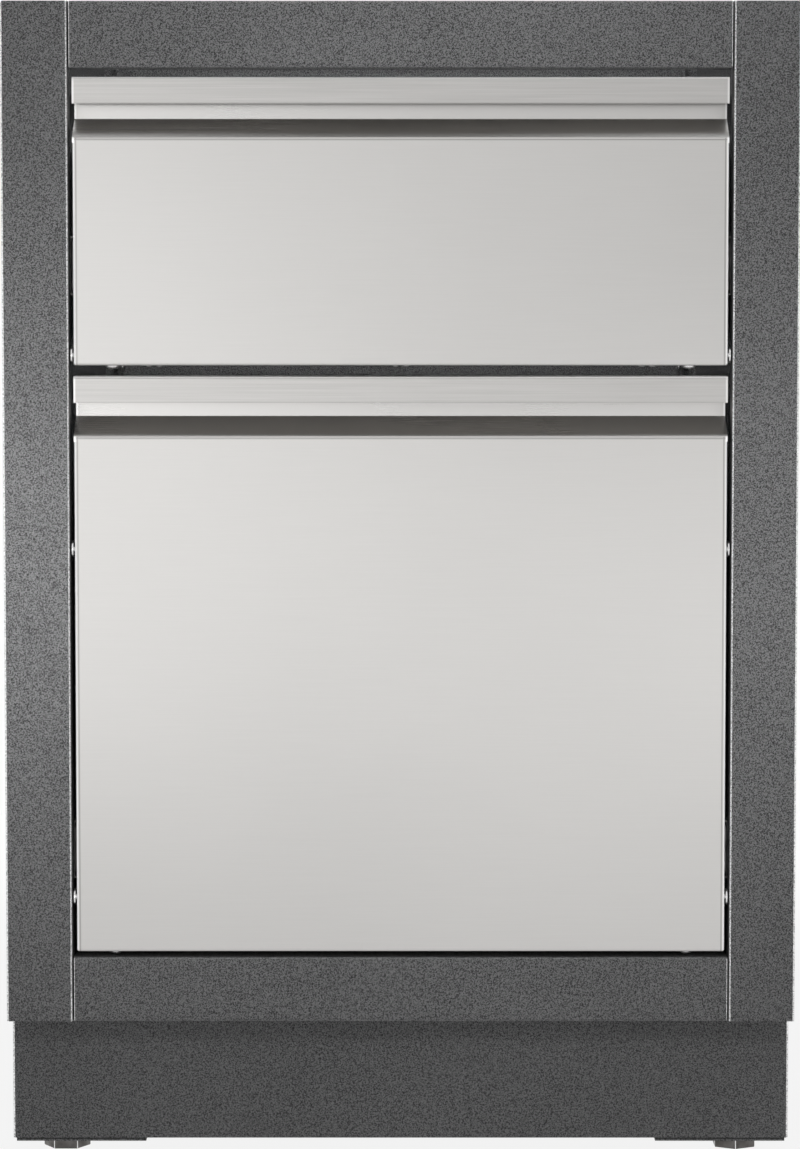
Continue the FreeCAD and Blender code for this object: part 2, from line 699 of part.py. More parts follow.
# Drawer fronts: a pan with three returns, whose sheet runs on up into the full-width finger pull
def drawer_front(drawer, top, bottom, holes):
    """One drawer front, bent from a single sheet."""
    name = f"{drawer}_front"
    lip = f"({top} - lip_height)"
    recess = f"({lip} - recess_back_height)"
    edge = f"({recess} - slope_height)"
    shoulder = f"({edge} - corner_relief)"
    bend_shift = "sheet * (sqrt(slope_height ^ 2 + pull_depth ^ 2) - slope_height) / pull_depth"
    face_back = f"{FRONT} + sheet"
    wall_face = f"{FRONT} + pull_depth"
    pull_outline = [
        (FRONT, shoulder), (FRONT, edge, "outer"), (wall_face, recess, "inner"),
        (wall_face, f"{top} - sheet", "inner"), (face_back, f"{top} - sheet", "inner"), (face_back, lip),
        (FRONT, lip), (FRONT, top, "outer"), (FRONT_BACK, top, "outer"),
        (FRONT_BACK, f"{recess} - {bend_shift}", "outer"), (face_back, f"{edge} - {bend_shift}", "inner"),
        (face_back, shoulder),
    ]
    pull = folded(name + "_pull", "YZ_Plane", pull_outline, f"2 * {FRONT_HALF}", symmetric=True)

    pan = doc.addObject("PartDesign::Body", name + "_pan")
    blank = [
        (f"-{FRONT_HALF}", FRONT), (FRONT_HALF, FRONT),
        (FRONT_HALF, FRONT_BACK), (f"-{FRONT_HALF}", FRONT_BACK),
    ]
    sketch = outline_sketch(pan, "XY_Plane", name + "_pan", blank, bottom)
    last = padded(pan, sketch, name + "_pan", f"{shoulder} - {bottom}")
    low = last.Shape.BoundBox
    corners = [FreeCAD.Vector(x, low.YMin, low.ZMin) for x in (low.XMin, low.XMax)]
    bends = edges_through(last.Shape, corners, FreeCAD.Vector(0, 0, 1))
    bends += edges_through(last.Shape, corners, FreeCAD.Vector(0, 1, 0))
    bends += edges_through(last.Shape, corners[:1], FreeCAD.Vector(1, 0, 0))
    rounded(pan, last, bends, "sheet + bend_radius")
    hollow = block(
        name + "_hollow",
        (f"-{FRONT_HALF} + sheet", face_back, f"{bottom} + sheet"),
        (f"{FRONT_HALF} - sheet", FRONT_BACK, shoulder),
    )
    shell = cut(name + "_shell", pan, [hollow] + holes)
    return fused(name, [shell, pull])


def box_front(drawer, top, bottom, holes):
    """The inner front of a drawer box: a plate with three flanges that fit inside the drawer front."""
    name = f"{drawer}_box_front"
    half = f"({FRONT_HALF} - sheet)"
    seat = f"({bottom} + sheet)"
    nose = f"{FRONT} + sheet + fit_clearance"
    flange_top = f"{top} - lip_height - recess_back_height - slope_height - corner_relief"
    web = block(name + "_web", (f"-{half}", FRONT_BACK, seat), (half, BOX_START, top))
    pieces = [web, block(name + "_foot", (f"-{half}", nose, seat), (half, BOX_START, f"{seat} + sheet"))]
    for side in SIDES:
        x_low, x_high = span(side, f"{half} - sheet", half)
        pieces.append(block(name + "_flange", (x_low, nose, seat), (x_high, BOX_START, flange_top)))
    return cut(name, fused(name + "_pan", pieces), holes)


# Drawer boxes: channel sides, a bottom laid on their flanges, a back under their rims
for drawer, plan in DRAWERS.items():
    top = plan["top"]
    bottom = plan["bottom"]
    seats = [("pan_screw", "up", on_side(side, f"{FRONT_HALF} - pan_screw_inset"), bottom) for side in SIDES]
    outer_rivets = f"({FRONT_HALF} - front_rivet_inset)"
    for x in (f"-{outer_rivets}", "0", outer_rivets):
        for sign in "+-":
            seats.append(("front_rivet", "up", f"{x} {sign} front_rivet_pitch / 2", bottom))
    if drawer == "upper":
        rises = ["truss_screw_rise"]
    else:
        rises = ["lower_screw_rise", "lower_screw_rise + lower_screw_pitch"]
    for side in SIDES:
        for rise in rises:
            seats.append(("truss_screw", INWARD[side], on_side(side, FRONT_HALF), f"{bottom} + {rise}"))

    reaches = {"pan_screw": "pan_screw_reach", "truss_screw": "truss_screw_reach", "front_rivet": "2 * sheet"}
    fasteners = []
    holes = []
    for kind, heading, x, z in seats:
        seat = x, f"{FRONT} + front_fixing_inset", z
        fasteners.append(fastener(f"{drawer}_{kind}", heading, seat, kind, reaches[kind]))
        holes.append(fixing_hole(f"{drawer}_{kind}_hole", heading, seat, kind, reaches[kind]))
    keep(f"{drawer}_front", drawer_front(drawer, top, bottom, holes))
    keep(f"{drawer}_box_front", box_front(drawer, top, bottom, holes))
    keep(f"{drawer}_front_fasteners", group(f"{drawer}_front_fasteners", fasteners))

    base = f"({bottom} + box_lift)"
    rim = f"({base} + {plan['box_height']})"
    plate_half = f"({BOX_INSIDE} - bend_radius)"
    plate_top = f"({base} + 2 * sheet)"
    plan["plate_top"] = plate_top
    for side in SIDES:
        face = on_side(side, BOX_FACE)
        web = on_side(side, BOX_INSIDE)
        flange = on_side(side, f"{BOX_INSIDE} - box_flange")
        lip = on_side(side, f"{BOX_INSIDE} - box_rim")
        outline = [
            (flange, base), (face, base, "outer"), (face, rim, "outer"), (lip, rim),
            (lip, f"{rim} - sheet"), (web, f"{rim} - sheet", "inner"), (web, f"{base} + sheet", "inner"),
            (flange, f"{base} + sheet"),
        ]
        wall = folded(f"{drawer}_{side}_wall", "XZ_Plane", outline, "box_length")
        place(wall, y=BOX_START)
        name = f"{drawer}_box_{side}"
        keep(name, cut(name, wall, plan["runner_holes"][side]))
    bottom_plate = block(
        f"{drawer}_bottom_plate",
        (f"-{plate_half}", BOX_START, f"{base} + sheet"),
        (plate_half, BOX_END, plate_top),
    )
    keep(f"{drawer}_box_bottom", bottom_plate)
    back_plate = block(
        f"{drawer}_back_plate",
        (f"-{plate_half}", f"{BOX_END} - sheet", plate_top),
        (plate_half, BOX_END, f"{rim} - sheet"),
    )
    keep(f"{drawer}_box_back", back_plate)


# Trash bin: a drafted pail with a flat rim, standing between two stops on the lower drawer's bottom
BIN_Y = f"(({BOX_START} + {BOX_END} - sheet) / 2)"
BIN_FLOOR = DRAWERS["lower"]["plate_top"]
UPRIGHT = FreeCAD.Rotation(FreeCAD.Vector(1, 0, 0), 90)


def upright_edges(shape, low, high):
    """Names of the leaning corner edges that run between two heights."""
    names = []
    for number, edge in enumerate(shape.Edges, start=1):
        heights = sorted(vertex.Z for vertex in edge.Vertexes)
        if len(heights) == 2 and abs(heights[0] - low) < TOUCH and abs(heights[1] - high) < TOUCH:
            names.append(f"Edge{number}")
    return names


def drafted_block(name, inset, floor, corner):
    """A block that widens upwards to the bin's mouth, with its upright corners rounded."""
    body = doc.addObject("PartDesign::Body", name)
    wedge = body.newObject("PartDesign::AdditiveWedge", name + "_wedge")
    wedge.Placement = FreeCAD.Placement(FreeCAD.Vector(), UPRIGHT)
    bind(wedge, Ymin=floor, Ymax="bin_height")
    foot = f"{inset} + bin_draft * (1 - {floor} / bin_height)"
    for axis, size in (("X", "bin_width"), ("Z", "bin_depth")):
        for level, drawn_in in (("", foot), ("2", inset)):
            half = f"({size} / 2 - ({drawn_in}))"
            bind(wedge, **{f"{axis}{level}min": f"-{half}", f"{axis}{level}max": half})
    doc.recompute()
    box = wedge.Shape.BoundBox
    rounded(body, wedge, upright_edges(wedge.Shape, box.ZMin, box.ZMax), corner)
    return body


pail = drafted_block("pail", "0", "0", "bin_corner")
half_width = "(bin_width / 2 + bin_rim_width)"
half_depth = "(bin_depth / 2 + bin_rim_width)"
rim_outline = [
    (f"-{half_width}", f"-{half_depth}"), (half_width, f"-{half_depth}"),
    (half_width, half_depth), (f"-{half_width}", half_depth),
]
rim_sketch = outline_sketch(pail, "XY_Plane", "bin_rim", rim_outline, "bin_height - bin_rim_thickness")
rim_pad = padded(pail, rim_sketch, "bin_rim", "bin_rim_thickness")
rim_box = rim_pad.Shape.BoundBox
rim_corners = [
    FreeCAD.Vector(x, y, rim_box.ZMax)
    for x in (rim_box.XMin, rim_box.XMax)
    for y in (rim_box.YMin, rim_box.YMax)
]
rim_edges = edges_through(rim_pad.Shape, rim_corners, FreeCAD.Vector(0, 0, 1))
rounded(pail, rim_pad, rim_edges, "bin_corner + bin_rim_width")
hollow = drafted_block("pail_hollow", "bin_wall", "bin_wall", "bin_corner - bin_wall")
for body in (pail, hollow):
    place(body, y=BIN_Y, z=BIN_FLOOR)
keep("trash_bin", cut("trash_bin", pail, [hollow]))

stops = []
for end, sign in (("front", "-"), ("rear", "+")):
    outward = f"{BIN_Y} {sign} "
    near = f"{outward}(bin_depth / 2 - bin_draft + bin_draft * bin_stop_leg / bin_height + fit_clearance)"
    far = f"{near} {sign} sheet"
    tip = f"{near} {sign} bin_stop_leg"
    outline = [
        (tip, BIN_FLOOR), (near, BIN_FLOOR, "outer"), (near, f"{BIN_FLOOR} + bin_stop_leg"),
        (far, f"{BIN_FLOOR} + bin_stop_leg"), (far, f"{BIN_FLOOR} + sheet", "inner"),
        (tip, f"{BIN_FLOOR} + sheet"),
    ]
    stops.append(folded(f"{end}_stop", "YZ_Plane", outline, "bin_stop_length", symmetric=True))
keep("bin_stops", group("bin_stops", stops))


# Every feature and every sub-part is checked before anything is written
doc.recompute()
failed = [item.Name for item in doc.Objects if {"Invalid", "Error"} & set(item.State)]
if failed:
    raise RuntimeError(f"features that failed: {failed}")
for name, item in nodes.items():
    if item.Shape.isNull() or not item.Shape.isValid() or not item.Shape.Solids:
        raise RuntimeError(f"{name} has no valid solid")

os.makedirs("parts", exist_ok=True)
for name, item in nodes.items():
    item.Shape.exportStep(f"parts/{name}.step")
print(f"{len(nodes)} sub-parts, {sum(len(item.Shape.Solids) for item in nodes.values())} solids")
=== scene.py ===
import bmesh
import bpy
import math
from mathutils import Matrix, Vector


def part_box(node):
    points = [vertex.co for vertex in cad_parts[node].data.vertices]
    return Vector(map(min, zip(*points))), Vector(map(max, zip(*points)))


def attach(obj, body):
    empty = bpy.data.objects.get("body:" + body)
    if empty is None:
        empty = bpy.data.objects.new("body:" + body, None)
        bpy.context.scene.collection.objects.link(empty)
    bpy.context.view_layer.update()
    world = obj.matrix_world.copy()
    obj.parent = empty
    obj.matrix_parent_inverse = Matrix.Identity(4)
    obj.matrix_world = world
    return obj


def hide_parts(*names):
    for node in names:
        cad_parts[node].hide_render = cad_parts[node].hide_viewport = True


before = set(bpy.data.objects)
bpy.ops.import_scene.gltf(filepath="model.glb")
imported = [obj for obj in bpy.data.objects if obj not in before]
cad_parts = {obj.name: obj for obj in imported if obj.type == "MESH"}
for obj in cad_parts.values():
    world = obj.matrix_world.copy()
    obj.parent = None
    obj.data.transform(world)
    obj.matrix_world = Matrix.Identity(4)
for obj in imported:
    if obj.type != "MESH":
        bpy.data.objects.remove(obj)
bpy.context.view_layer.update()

# Plinth: a toe kick, a rear wall and two side channels, bent from steel sheet and welded into a
# ring, with four thick plates welded under its corners for the feet.
# It is powder coated in charcoal, with the pebbled skin of a hammer finish.
PEBBLE_SIZE = 0.00098
PIT_SIZE = 0.0007
PEBBLE_DEPTH = 0.00016
# The coat's tone follows its relief: darker in hollows and pits, lighter on crowns. This is partly
# the coat's own mottle and partly painted shade and light on the pebbles.
COAT_SHADED_HOLLOW = (0.022, 0.0222, 0.0225, 1)
COAT_LIT_CROWN = (0.245, 0.246, 0.249, 1)
# Upright bends get a painted highlight: a near-white metallic tone dotted by the pebbles, scaled by
# a share. Level bends get only a trace of it.
COAT_PAINTED_HIGHLIGHT = (0.98, 0.98, 0.98, 1)
# A painted shadow: near black from a band's depth below a given height upward. On the foot plates
# it stands for the shade under the toe kick.
COAT_PAINTED_SHADOW = (0.008, 0.008, 0.008, 1)
SHADOW_BAND = 0.0012
SHADOW_FADE = 0.0004
NO_PAINTED_SHADOW = 10.0
COAT_ROUGHNESS = 0.4
COAT_UNEVEN = 0.1
COAT_SPECULAR = 0.3
DRIFT_SIZE = 0.14
PEBBLE_BAND = (0.38, 0.58)
PIT_BAND = (0.52, 0.72)
PEBBLE_SHARE = 0.8
DRIFT_SHARE = 0.2
PIT_SHARE = 0.3
PIT_RELIEF = 0.5
UPRIGHT_BEND = (0.22, 0.36)
LEVEL_BEND = (0.28, 0.40)
LEAST_HIGHLIGHT = 0.4
LEVEL_HIGHLIGHT = 0.04


class Wire:
    """An output socket in a finish: arithmetic adds Math nodes, and node() any other node."""

    def __init__(self, tree, socket=None):
        self.tree = tree
        self.socket = socket

    def node(self, kind, settings=None, inputs=None, output=0):
        """Add a node: its settings are made first, then its inputs are set or linked."""
        item = self.tree.nodes.new(kind)
        for name, value in (settings or {}).items():
            setattr(item, name, value)
        for name, value in (inputs or {}).items():
            if isinstance(value, Wire):
                self.tree.links.new(value.socket, item.inputs[name])
            else:
                item.inputs[name].default_value = value
        return Wire(self.tree, item.outputs[output] if item.outputs else None)

    def beside(self, output):
        """Another output of the same node."""
        return Wire(self.tree, self.socket.node.outputs[output])

    def math(self, operation, *values):
        return self.node("ShaderNodeMath", {"operation": operation}, dict(enumerate(values)))

    def __add__(self, other):
        return self.math("ADD", self, other)

    def __sub__(self, other):
        return self.math("SUBTRACT", self, other)

    def __rsub__(self, other):
        return self.math("SUBTRACT", other, self)

    def __mul__(self, other):
        return self.math("MULTIPLY", self, other)

    __radd__ = __add__
    __rmul__ = __mul__

    def between(self, low, high):
        """0 below low and 1 above high, with a soft step."""
        settings = {"interpolation_type": "SMOOTHSTEP"}
        inputs = {"Value": self, "From Min": low, "From Max": high}
        return self.node("ShaderNodeMapRange", settings, inputs)

    def near(self, middle, reach):
        """1 at a middle value, falling softly to 0 at a reach to either side."""
        return self.between(middle - reach, middle) - self.between(middle, middle + reach)

    def tint(self, dark, light):
        """A colour from dark at 0 to light at 1."""
        inputs = {"Factor": self, "A": dark, "B": light}
        return self.node("ShaderNodeMix", {"data_type": "RGBA"}, inputs, "Result")


def open_finish(name):
    """A new material with an empty node tree, and the start of its wires."""
    material = bpy.data.materials.new(name)
    material.use_nodes = True
    material.node_tree.nodes.clear()
    return material, Wire(material.node_tree)


def close_finish(start, **inputs):
    """Join a Principled shader to the output, its inputs named with underscores for spaces."""
    named = {name.replace("_", " "): value for name, value in inputs.items()}
    shader = start.node("ShaderNodeBsdfPrincipled", inputs=named)
    start.node("ShaderNodeOutputMaterial", inputs={"Surface": shader})


def noise(start, vector, size, detail=2.0, distortion=0.0):
    """Soft noise with features of about one size, in metres."""
    inputs = {"Vector": vector, "Scale": 1 / size, "Detail": detail, "Distortion": distortion}
    return start.node("ShaderNodeTexNoise", inputs=inputs)


def relief(start, height, depth):
    """A bump of a given depth, in metres."""
    inputs = {"Strength": 1.0, "Distance": depth, "Height": height}
    return start.node("ShaderNodeBump", inputs=inputs)


def bends(start):
    """How far a face has turned through a bend, on upright bends and on level ones."""
    facing = start.node("ShaderNodeTexCoord", output="Normal")
    sides = facing.node("ShaderNodeVectorMath", {"operation": "ABSOLUTE"}, {0: facing})
    across = sides.node("ShaderNodeSeparateXYZ", inputs={"Vector": sides}, output="X")
    deep = across.beside("Y")
    upright = (across * deep).between(*UPRIGHT_BEND)
    level = (across.beside("Z") * (across + deep)).between(*LEVEL_BEND)
    return upright, level


def hammer_paint(name, highlight_share=1.0, shadow_top=NO_PAINTED_SHADOW):
    """Pebbled paint, with a near-white metallic painted highlight along its upright bends by a
    share, and a painted shadow above a given height.
    """
    material, start = open_finish(name)
    place = start.node("ShaderNodeTexCoord", output="Object")
    pebble = noise(start, place, PEBBLE_SIZE, detail=1.0, distortion=0.8).between(*PEBBLE_BAND)
    pits = noise(start, place, PIT_SIZE, detail=1.0).between(*PIT_BAND)
    drift = noise(start, place, DRIFT_SIZE)
    upright, level = bends(start)
    # Painted highlight along the upright bends, in place of the side lamps' glint on them.
    bend_highlight = (upright * (LEAST_HIGHLIGHT + (1 - LEAST_HIGHLIGHT) * pebble) + level * LEVEL_HIGHLIGHT) * highlight_share
    # Tone: partly mottle, partly painted shade in hollows and pits and painted light on crowns.
    tone = pebble * PEBBLE_SHARE + drift * DRIFT_SHARE - pits * PIT_SHARE
    coat = tone.tint(COAT_SHADED_HOLLOW, COAT_LIT_CROWN)
    height = start.node("ShaderNodeSeparateXYZ", inputs={"Vector": place}, output="Z")
    # Painted shadow above the shadow line.
    shadow_bottom = shadow_top - SHADOW_BAND
    coat = height.between(shadow_bottom - SHADOW_FADE, shadow_bottom).tint(coat, COAT_PAINTED_SHADOW)
    close_finish(
        start, Base_Color=bend_highlight.tint(coat, COAT_PAINTED_HIGHLIGHT), Metallic=bend_highlight,
        Normal=relief(start, pebble - PIT_RELIEF * pits, PEBBLE_DEPTH),
        Specular_IOR_Level=COAT_SPECULAR,
        Roughness=COAT_ROUGHNESS + COAT_UNEVEN * drift - COAT_UNEVEN * bend_highlight,
    )
    return material


def dress(finish, *names):
    """Give CAD nodes their finish."""
    for name in names:
        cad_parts[name].material_slots[0].material = finish


charcoal = hammer_paint("charcoal_hammer_paint")
dress(charcoal, "toe_kick", "rear_plinth", "left_plinth", "right_plinth")
# The foot plates' top band is a painted shadow, for the shade under the toe kick's lower bend.
low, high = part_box("foot_plates")
dress(hammer_paint("charcoal_foot_plate_painted_shadow", shadow_top=high.z), "foot_plates")


# Levelling feet: hexagonal steel feet, each turned in one piece with a threaded stud and zinc
# plated. The stud screws through the foot plate into a nut that is welded on top of it.
FOOT_HEIGHT = 0.011
FOOT_ACROSS_FLATS = 0.032
FOOT_CHAMFER = 0.0012
FOOT_SIDES = 6
STUD_RADIUS = 0.005
THREAD_DEPTH = 0.0008
THREAD_PITCH = 0.0015
THREAD_STEPS = 28
FOOT_EDGE = 0.0004
FOOT_DULL = (0.085, 0.080, 0.075, 1)
FOOT_BRIGHT = (0.15, 0.143, 0.136, 1)
# Near-white painted highlight for the hex feet's upright corners.
FOOT_CORNER_HIGHLIGHT = (0.85, 0.85, 0.84, 1)
ZINC_DULL = (0.27, 0.26, 0.25, 1)
ZINC_BRIGHT = (0.62, 0.615, 0.61, 1)
SPANGLE_SIZE = 0.006
SPANGLE_SHARE = 0.2
STAIN_SIZE = 0.009
STAIN_BAND = (0.3, 0.75)
STAIN_SHARE = 0.8
SCRATCH_SIZE = 0.0009
SCRATCH_DEPTH = 0.00002
ZINC_ROUGHNESS = 0.44
STAIN_GLOSS = 0.14
SCRATCH_DULL = 0.08
EDGE_STEPS = 2
MERGE = 1e-6
CREASE = math.radians(32)


def zinc_plate(name, dull, bright):
    """Stained zinc between two tones, near white on faces whose attribute marks a painted
    highlight.
    """
    material, start = open_finish(name)
    place = start.node("ShaderNodeTexCoord", output="Object")
    crystals = {"Vector": place, "Scale": 1 / SPANGLE_SIZE}
    spangle = start.node("ShaderNodeTexVoronoi", inputs=crystals, output="Color")
    cells = start.node("ShaderNodeSeparateColor", inputs={"Color": spangle})
    stain = noise(start, place, STAIN_SIZE, detail=5).between(*STAIN_BAND)
    scratch = noise(start, place, SCRATCH_SIZE, detail=3)
    corner_highlight = start.node("ShaderNodeAttribute", {"attribute_name": "corner_highlight"}, output="Fac")
    tone = (stain * STAIN_SHARE + cells * SPANGLE_SHARE).tint(dull, bright)
    close_finish(
        start, Base_Color=corner_highlight.tint(tone, FOOT_CORNER_HIGHLIGHT), Metallic=1.0,
        Normal=relief(start, scratch, SCRATCH_DEPTH),
        Roughness=ZINC_ROUGHNESS - STAIN_GLOSS * stain + SCRATCH_DULL * scratch,
    )
    return material


def piece(name, shape, finish, body, slot, *nodes):
    """Close a bmesh into a piece that rides a body and stands for its CAD nodes."""
    mesh = bpy.data.meshes.new(name)
    shape.to_mesh(mesh)
    shape.free()
    mesh.shade_smooth()
    mesh.set_sharp_from_angle(angle=CREASE)
    mesh.materials.append(finish)
    item = bpy.data.objects.new(name, mesh)
    bpy.context.scene.collection.objects.link(item)
    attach(item, body)
    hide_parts(*nodes)


def cut_off(shape, height, upper):
    """Cut a shape level at a height, remove what is above or below, and cap the cut."""
    cut = bmesh.ops.bisect_plane(
        shape, geom=shape.verts[:] + shape.edges[:] + shape.faces[:], dist=MERGE,
        plane_co=(0, 0, height), plane_no=(0, 0, 1), clear_outer=upper, clear_inner=not upper,
    )
    edges = [item for item in cut["geom_cut"] if isinstance(item, bmesh.types.BMEdge)]
    bmesh.ops.holes_fill(shape, edges=edges)


def threaded_stud(shape, low, high):
    """A helix of thread, wound upwards from a three-point tooth and cut level at both ends."""
    root = STUD_RADIUS - THREAD_DEPTH
    start = low - THREAD_PITCH
    tooth = [(root, start), (STUD_RADIUS, start + THREAD_PITCH / 2), (root, start + THREAD_PITCH)]
    points = [shape.verts.new((radius, 0, height)) for radius, height in tooth]
    flanks = [shape.edges.new(points[number:number + 2]) for number in (0, 1)]
    turns = math.ceil((high - start) / THREAD_PITCH) + 1
    bmesh.ops.spin(
        shape, geom=points + flanks, cent=(0, 0, 0), axis=(0, 0, 1), angle=math.tau * turns,
        dvec=(0, 0, THREAD_PITCH / THREAD_STEPS), steps=THREAD_STEPS * turns,
    )
    bmesh.ops.remove_doubles(shape, verts=shape.verts, dist=MERGE)
    cut_off(shape, high, True)
    cut_off(shape, low, False)


def level_edges(edges):
    """The edges that lie level."""
    return [edge for edge in edges if abs(edge.verts[0].co.z - edge.verts[1].co.z) < MERGE]


def ease(shape, items, size, segments, affect="EDGES"):
    """Round or chamfer some edges, or some corners of a flat outline, and give the new faces."""
    return bmesh.ops.bevel(
        shape, geom=items, offset=size, offset_type="OFFSET", segments=segments, profile=0.5,
        affect=affect, material=-1, clamp_overlap=True,
    )["faces"]


zinc = zinc_plate("zinc_plate", ZINC_DULL, ZINC_BRIGHT)
dull_zinc = zinc_plate("dull_zinc_plate", FOOT_DULL, FOOT_BRIGHT)
dress(zinc, "foot_nuts")
for corner in ("front_left", "front_right", "rear_left", "rear_right"):
    low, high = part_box(f"{corner}_foot")
    middle = (low + high) / 2
    foot = bmesh.new()
    threaded_stud(foot, FOOT_HEIGHT - THREAD_PITCH, high.z)
    across_corners = 2 * FOOT_ACROSS_FLATS / math.sqrt(3)
    corner_to_front = high.y - low.y > (FOOT_ACROSS_FLATS + across_corners) / 2
    head = bmesh.ops.create_cone(
        foot, cap_ends=True, segments=FOOT_SIDES, radius1=across_corners / 2,
        radius2=across_corners / 2, depth=FOOT_HEIGHT,
        matrix=Matrix.Translation((0, 0, FOOT_HEIGHT / 2)),
    )["verts"]
    if not corner_to_front:
        turn = Matrix.Rotation(math.pi / FOOT_SIDES, 3, "Z")
        bmesh.ops.rotate(foot, verts=head, cent=(0, 0, 0), matrix=turn)
    rims = {edge for vertex in head for edge in vertex.link_edges}
    level_rims = level_edges(rims)
    # The bevels on the hex's upright corners carry a painted highlight through a face attribute.
    corner_highlight = foot.faces.layers.float.new("corner_highlight")
    for face in ease(foot, list(rims.difference(level_rims)), FOOT_EDGE, EDGE_STEPS):
        face[corner_highlight] = 1
    sharp = [edge for edge in level_edges(foot.edges) if edge.calc_face_angle(0) > CREASE]
    outer = [edge for edge in sharp if edge.verts[0].co.to_2d().length > 2 * STUD_RADIUS]
    ease(foot, outer, FOOT_CHAMFER, EDGE_STEPS)
    bmesh.ops.translate(foot, verts=foot.verts, vec=(middle.x, middle.y, 0))
    bmesh.ops.recalc_face_normals(foot, faces=foot.faces)
    body = f"{corner}_leveller"
    piece(f"{corner}_threaded_foot", foot, dull_zinc, body, "zinc_plated_steel", f"{corner}_foot")


# Frame: four posts and four rails, each a channel bent from the same sheet, held square by welded
# angle brackets in the rail ends. The front four are the face frame, with a fine open seam at each
# joint.
for end in ("front", "rear"):
    for bar in ("left_post", "right_post", "top_rail", "bottom_rail"):
        dress(charcoal, f"{end}_{bar}")
# The corner brackets get the paint without its painted highlight.
dress(hammer_paint("charcoal_paint_no_painted_highlight", highlight_share=0.0), "corner_brackets")


# Panels: two sides lapped inside the posts, a tray for the back and a floor laid on the bottom
# returns, all of painted sheet.
dress(charcoal, "left_side_panel", "right_side_panel", "back_panel", "floor_panel")


# Back panel screws: small domed screws with a cross recess, in bright stainless steel, driven
# outwards through the tray's side returns into the rear posts.
SHEET = 0.0012
ROUND_STEPS = 24
DOME_STEPS = 6
BACK_SCREW = {"head_radius": 0.0042, "head_height": 0.0024, "shank_radius": 0.0021, "reach": 0.008}
BACK_SCREW_INSET = 0.060
BACK_SCREWS_PER_SIDE = 4
CROSS_MOUTH = 0.62
CROSS_ARM = 0.5
CROSS_SLOT = 0.13
CROSS_DEPTH = 0.6
BRIGHT_DARK = (0.66, 0.655, 0.65, 1)
BRIGHT_LIGHT = (0.90, 0.90, 0.90, 1)
TURNING_SIZE = 0.0005
TURNING_DEPTH = 0.00001
TURNING_SHARE = 0.4
TARNISH_SIZE = 0.004
TARNISH_BAND = (0.35, 0.7)
TARNISH_SHARE = 0.6
BRIGHT_ROUGHNESS = 0.2
TARNISH_DULL = 0.12
TURNING_DULL = 0.06


def bright_steel(name):
    material, start = open_finish(name)
    place = start.node("ShaderNodeTexCoord", output="Object")
    turning = noise(start, place, TURNING_SIZE, detail=4)
    tarnish = noise(start, place, TARNISH_SIZE, detail=3).between(*TARNISH_BAND)
    tone = tarnish * TARNISH_SHARE + turning * TURNING_SHARE
    close_finish(
        start, Base_Color=tone.tint(BRIGHT_DARK, BRIGHT_LIGHT), Metallic=1.0,
        Normal=relief(start, turning, TURNING_DEPTH),
        Roughness=BRIGHT_ROUGHNESS + TARNISH_DULL * tarnish + TURNING_DULL * turning,
    )
    return material


def lathe(shape, profile):
    """Spin a half outline of radius and height into a round piece."""
    points = [shape.verts.new((radius, 0, height)) for radius, height in profile]
    sides = [shape.edges.new(pair) for pair in zip(points, points[1:])]
    bmesh.ops.spin(
        shape, geom=points + sides, cent=(0, 0, 0), axis=(0, 0, 1), angle=math.tau,
        steps=ROUND_STEPS, use_merge=True,
    )
    bmesh.ops.remove_doubles(shape, verts=shape.verts, dist=MERGE)


def domed_outline(mouth, head_radius, head_height, shank_radius, reach, neck=0.0, rim=0.0):
    """A head domed in a quarter ellipse from mouth to rim, then a neck and shank to the tip."""
    first = math.asin(mouth / head_radius)
    turns = [first + (math.pi / 2 - first) * step / DOME_STEPS for step in range(DOME_STEPS + 1)]
    crown = head_height - rim
    head = [(head_radius * math.sin(turn), neck + rim + crown * math.cos(turn)) for turn in turns]
    seat = [(head_radius, neck), (shank_radius, neck)]
    ease_tip = shank_radius / 4
    tip = [(shank_radius, ease_tip - reach), (shank_radius - ease_tip, -reach), (0, -reach)]
    return head + seat + tip


def set_in(shape, part, seat, outward):
    """Turn a finished part from +Z to face outward, move it to its seat and add it to a shape."""
    bmesh.ops.recalc_face_normals(part, faces=part.faces)
    turn = Vector(outward).to_track_quat("Z", "Y").to_matrix().to_4x4()
    bmesh.ops.transform(part, verts=part.verts, matrix=Matrix.Translation(seat) @ turn)
    copy = bpy.data.meshes.new("part")
    part.to_mesh(copy)
    part.free()
    shape.from_mesh(copy)
    bpy.data.meshes.remove(copy)


def cross_screw(shape, seat, outward, head_radius, head_height, **size):
    """A domed screw whose head has a cross-shaped recess."""
    mouth = head_radius * CROSS_MOUTH
    arm = head_radius * CROSS_ARM
    slot = head_radius * CROSS_SLOT
    part = bmesh.new()
    lathe(part, domed_outline(mouth, head_radius, head_height, **size))
    ring = [edge for edge in part.edges if edge.is_boundary]
    rim_height = ring[0].verts[0].co.z
    corners = []
    for quarter in range(4):
        turn = Matrix.Rotation(quarter * math.pi / 2, 3, "Z")
        for x, y in ((arm, -slot), (arm, slot), (slot, slot)):
            corners.append(part.verts.new(turn @ Vector((x, y, rim_height))))
    sides = zip(corners[-1:] + corners[:-1], corners)
    cross = [part.edges.new(side) for side in sides]
    bmesh.ops.bridge_loops(part, edges=ring + cross)
    walls = bmesh.ops.extrude_edge_only(part, edges=cross)["geom"]
    sunk = [item for item in walls if isinstance(item, bmesh.types.BMVert)]
    bmesh.ops.translate(part, verts=sunk, vec=(0, 0, -head_height * CROSS_DEPTH))
    edges = [item for item in walls if isinstance(item, bmesh.types.BMEdge)]
    bmesh.ops.holes_fill(part, edges=edges)
    set_in(shape, part, seat, outward)


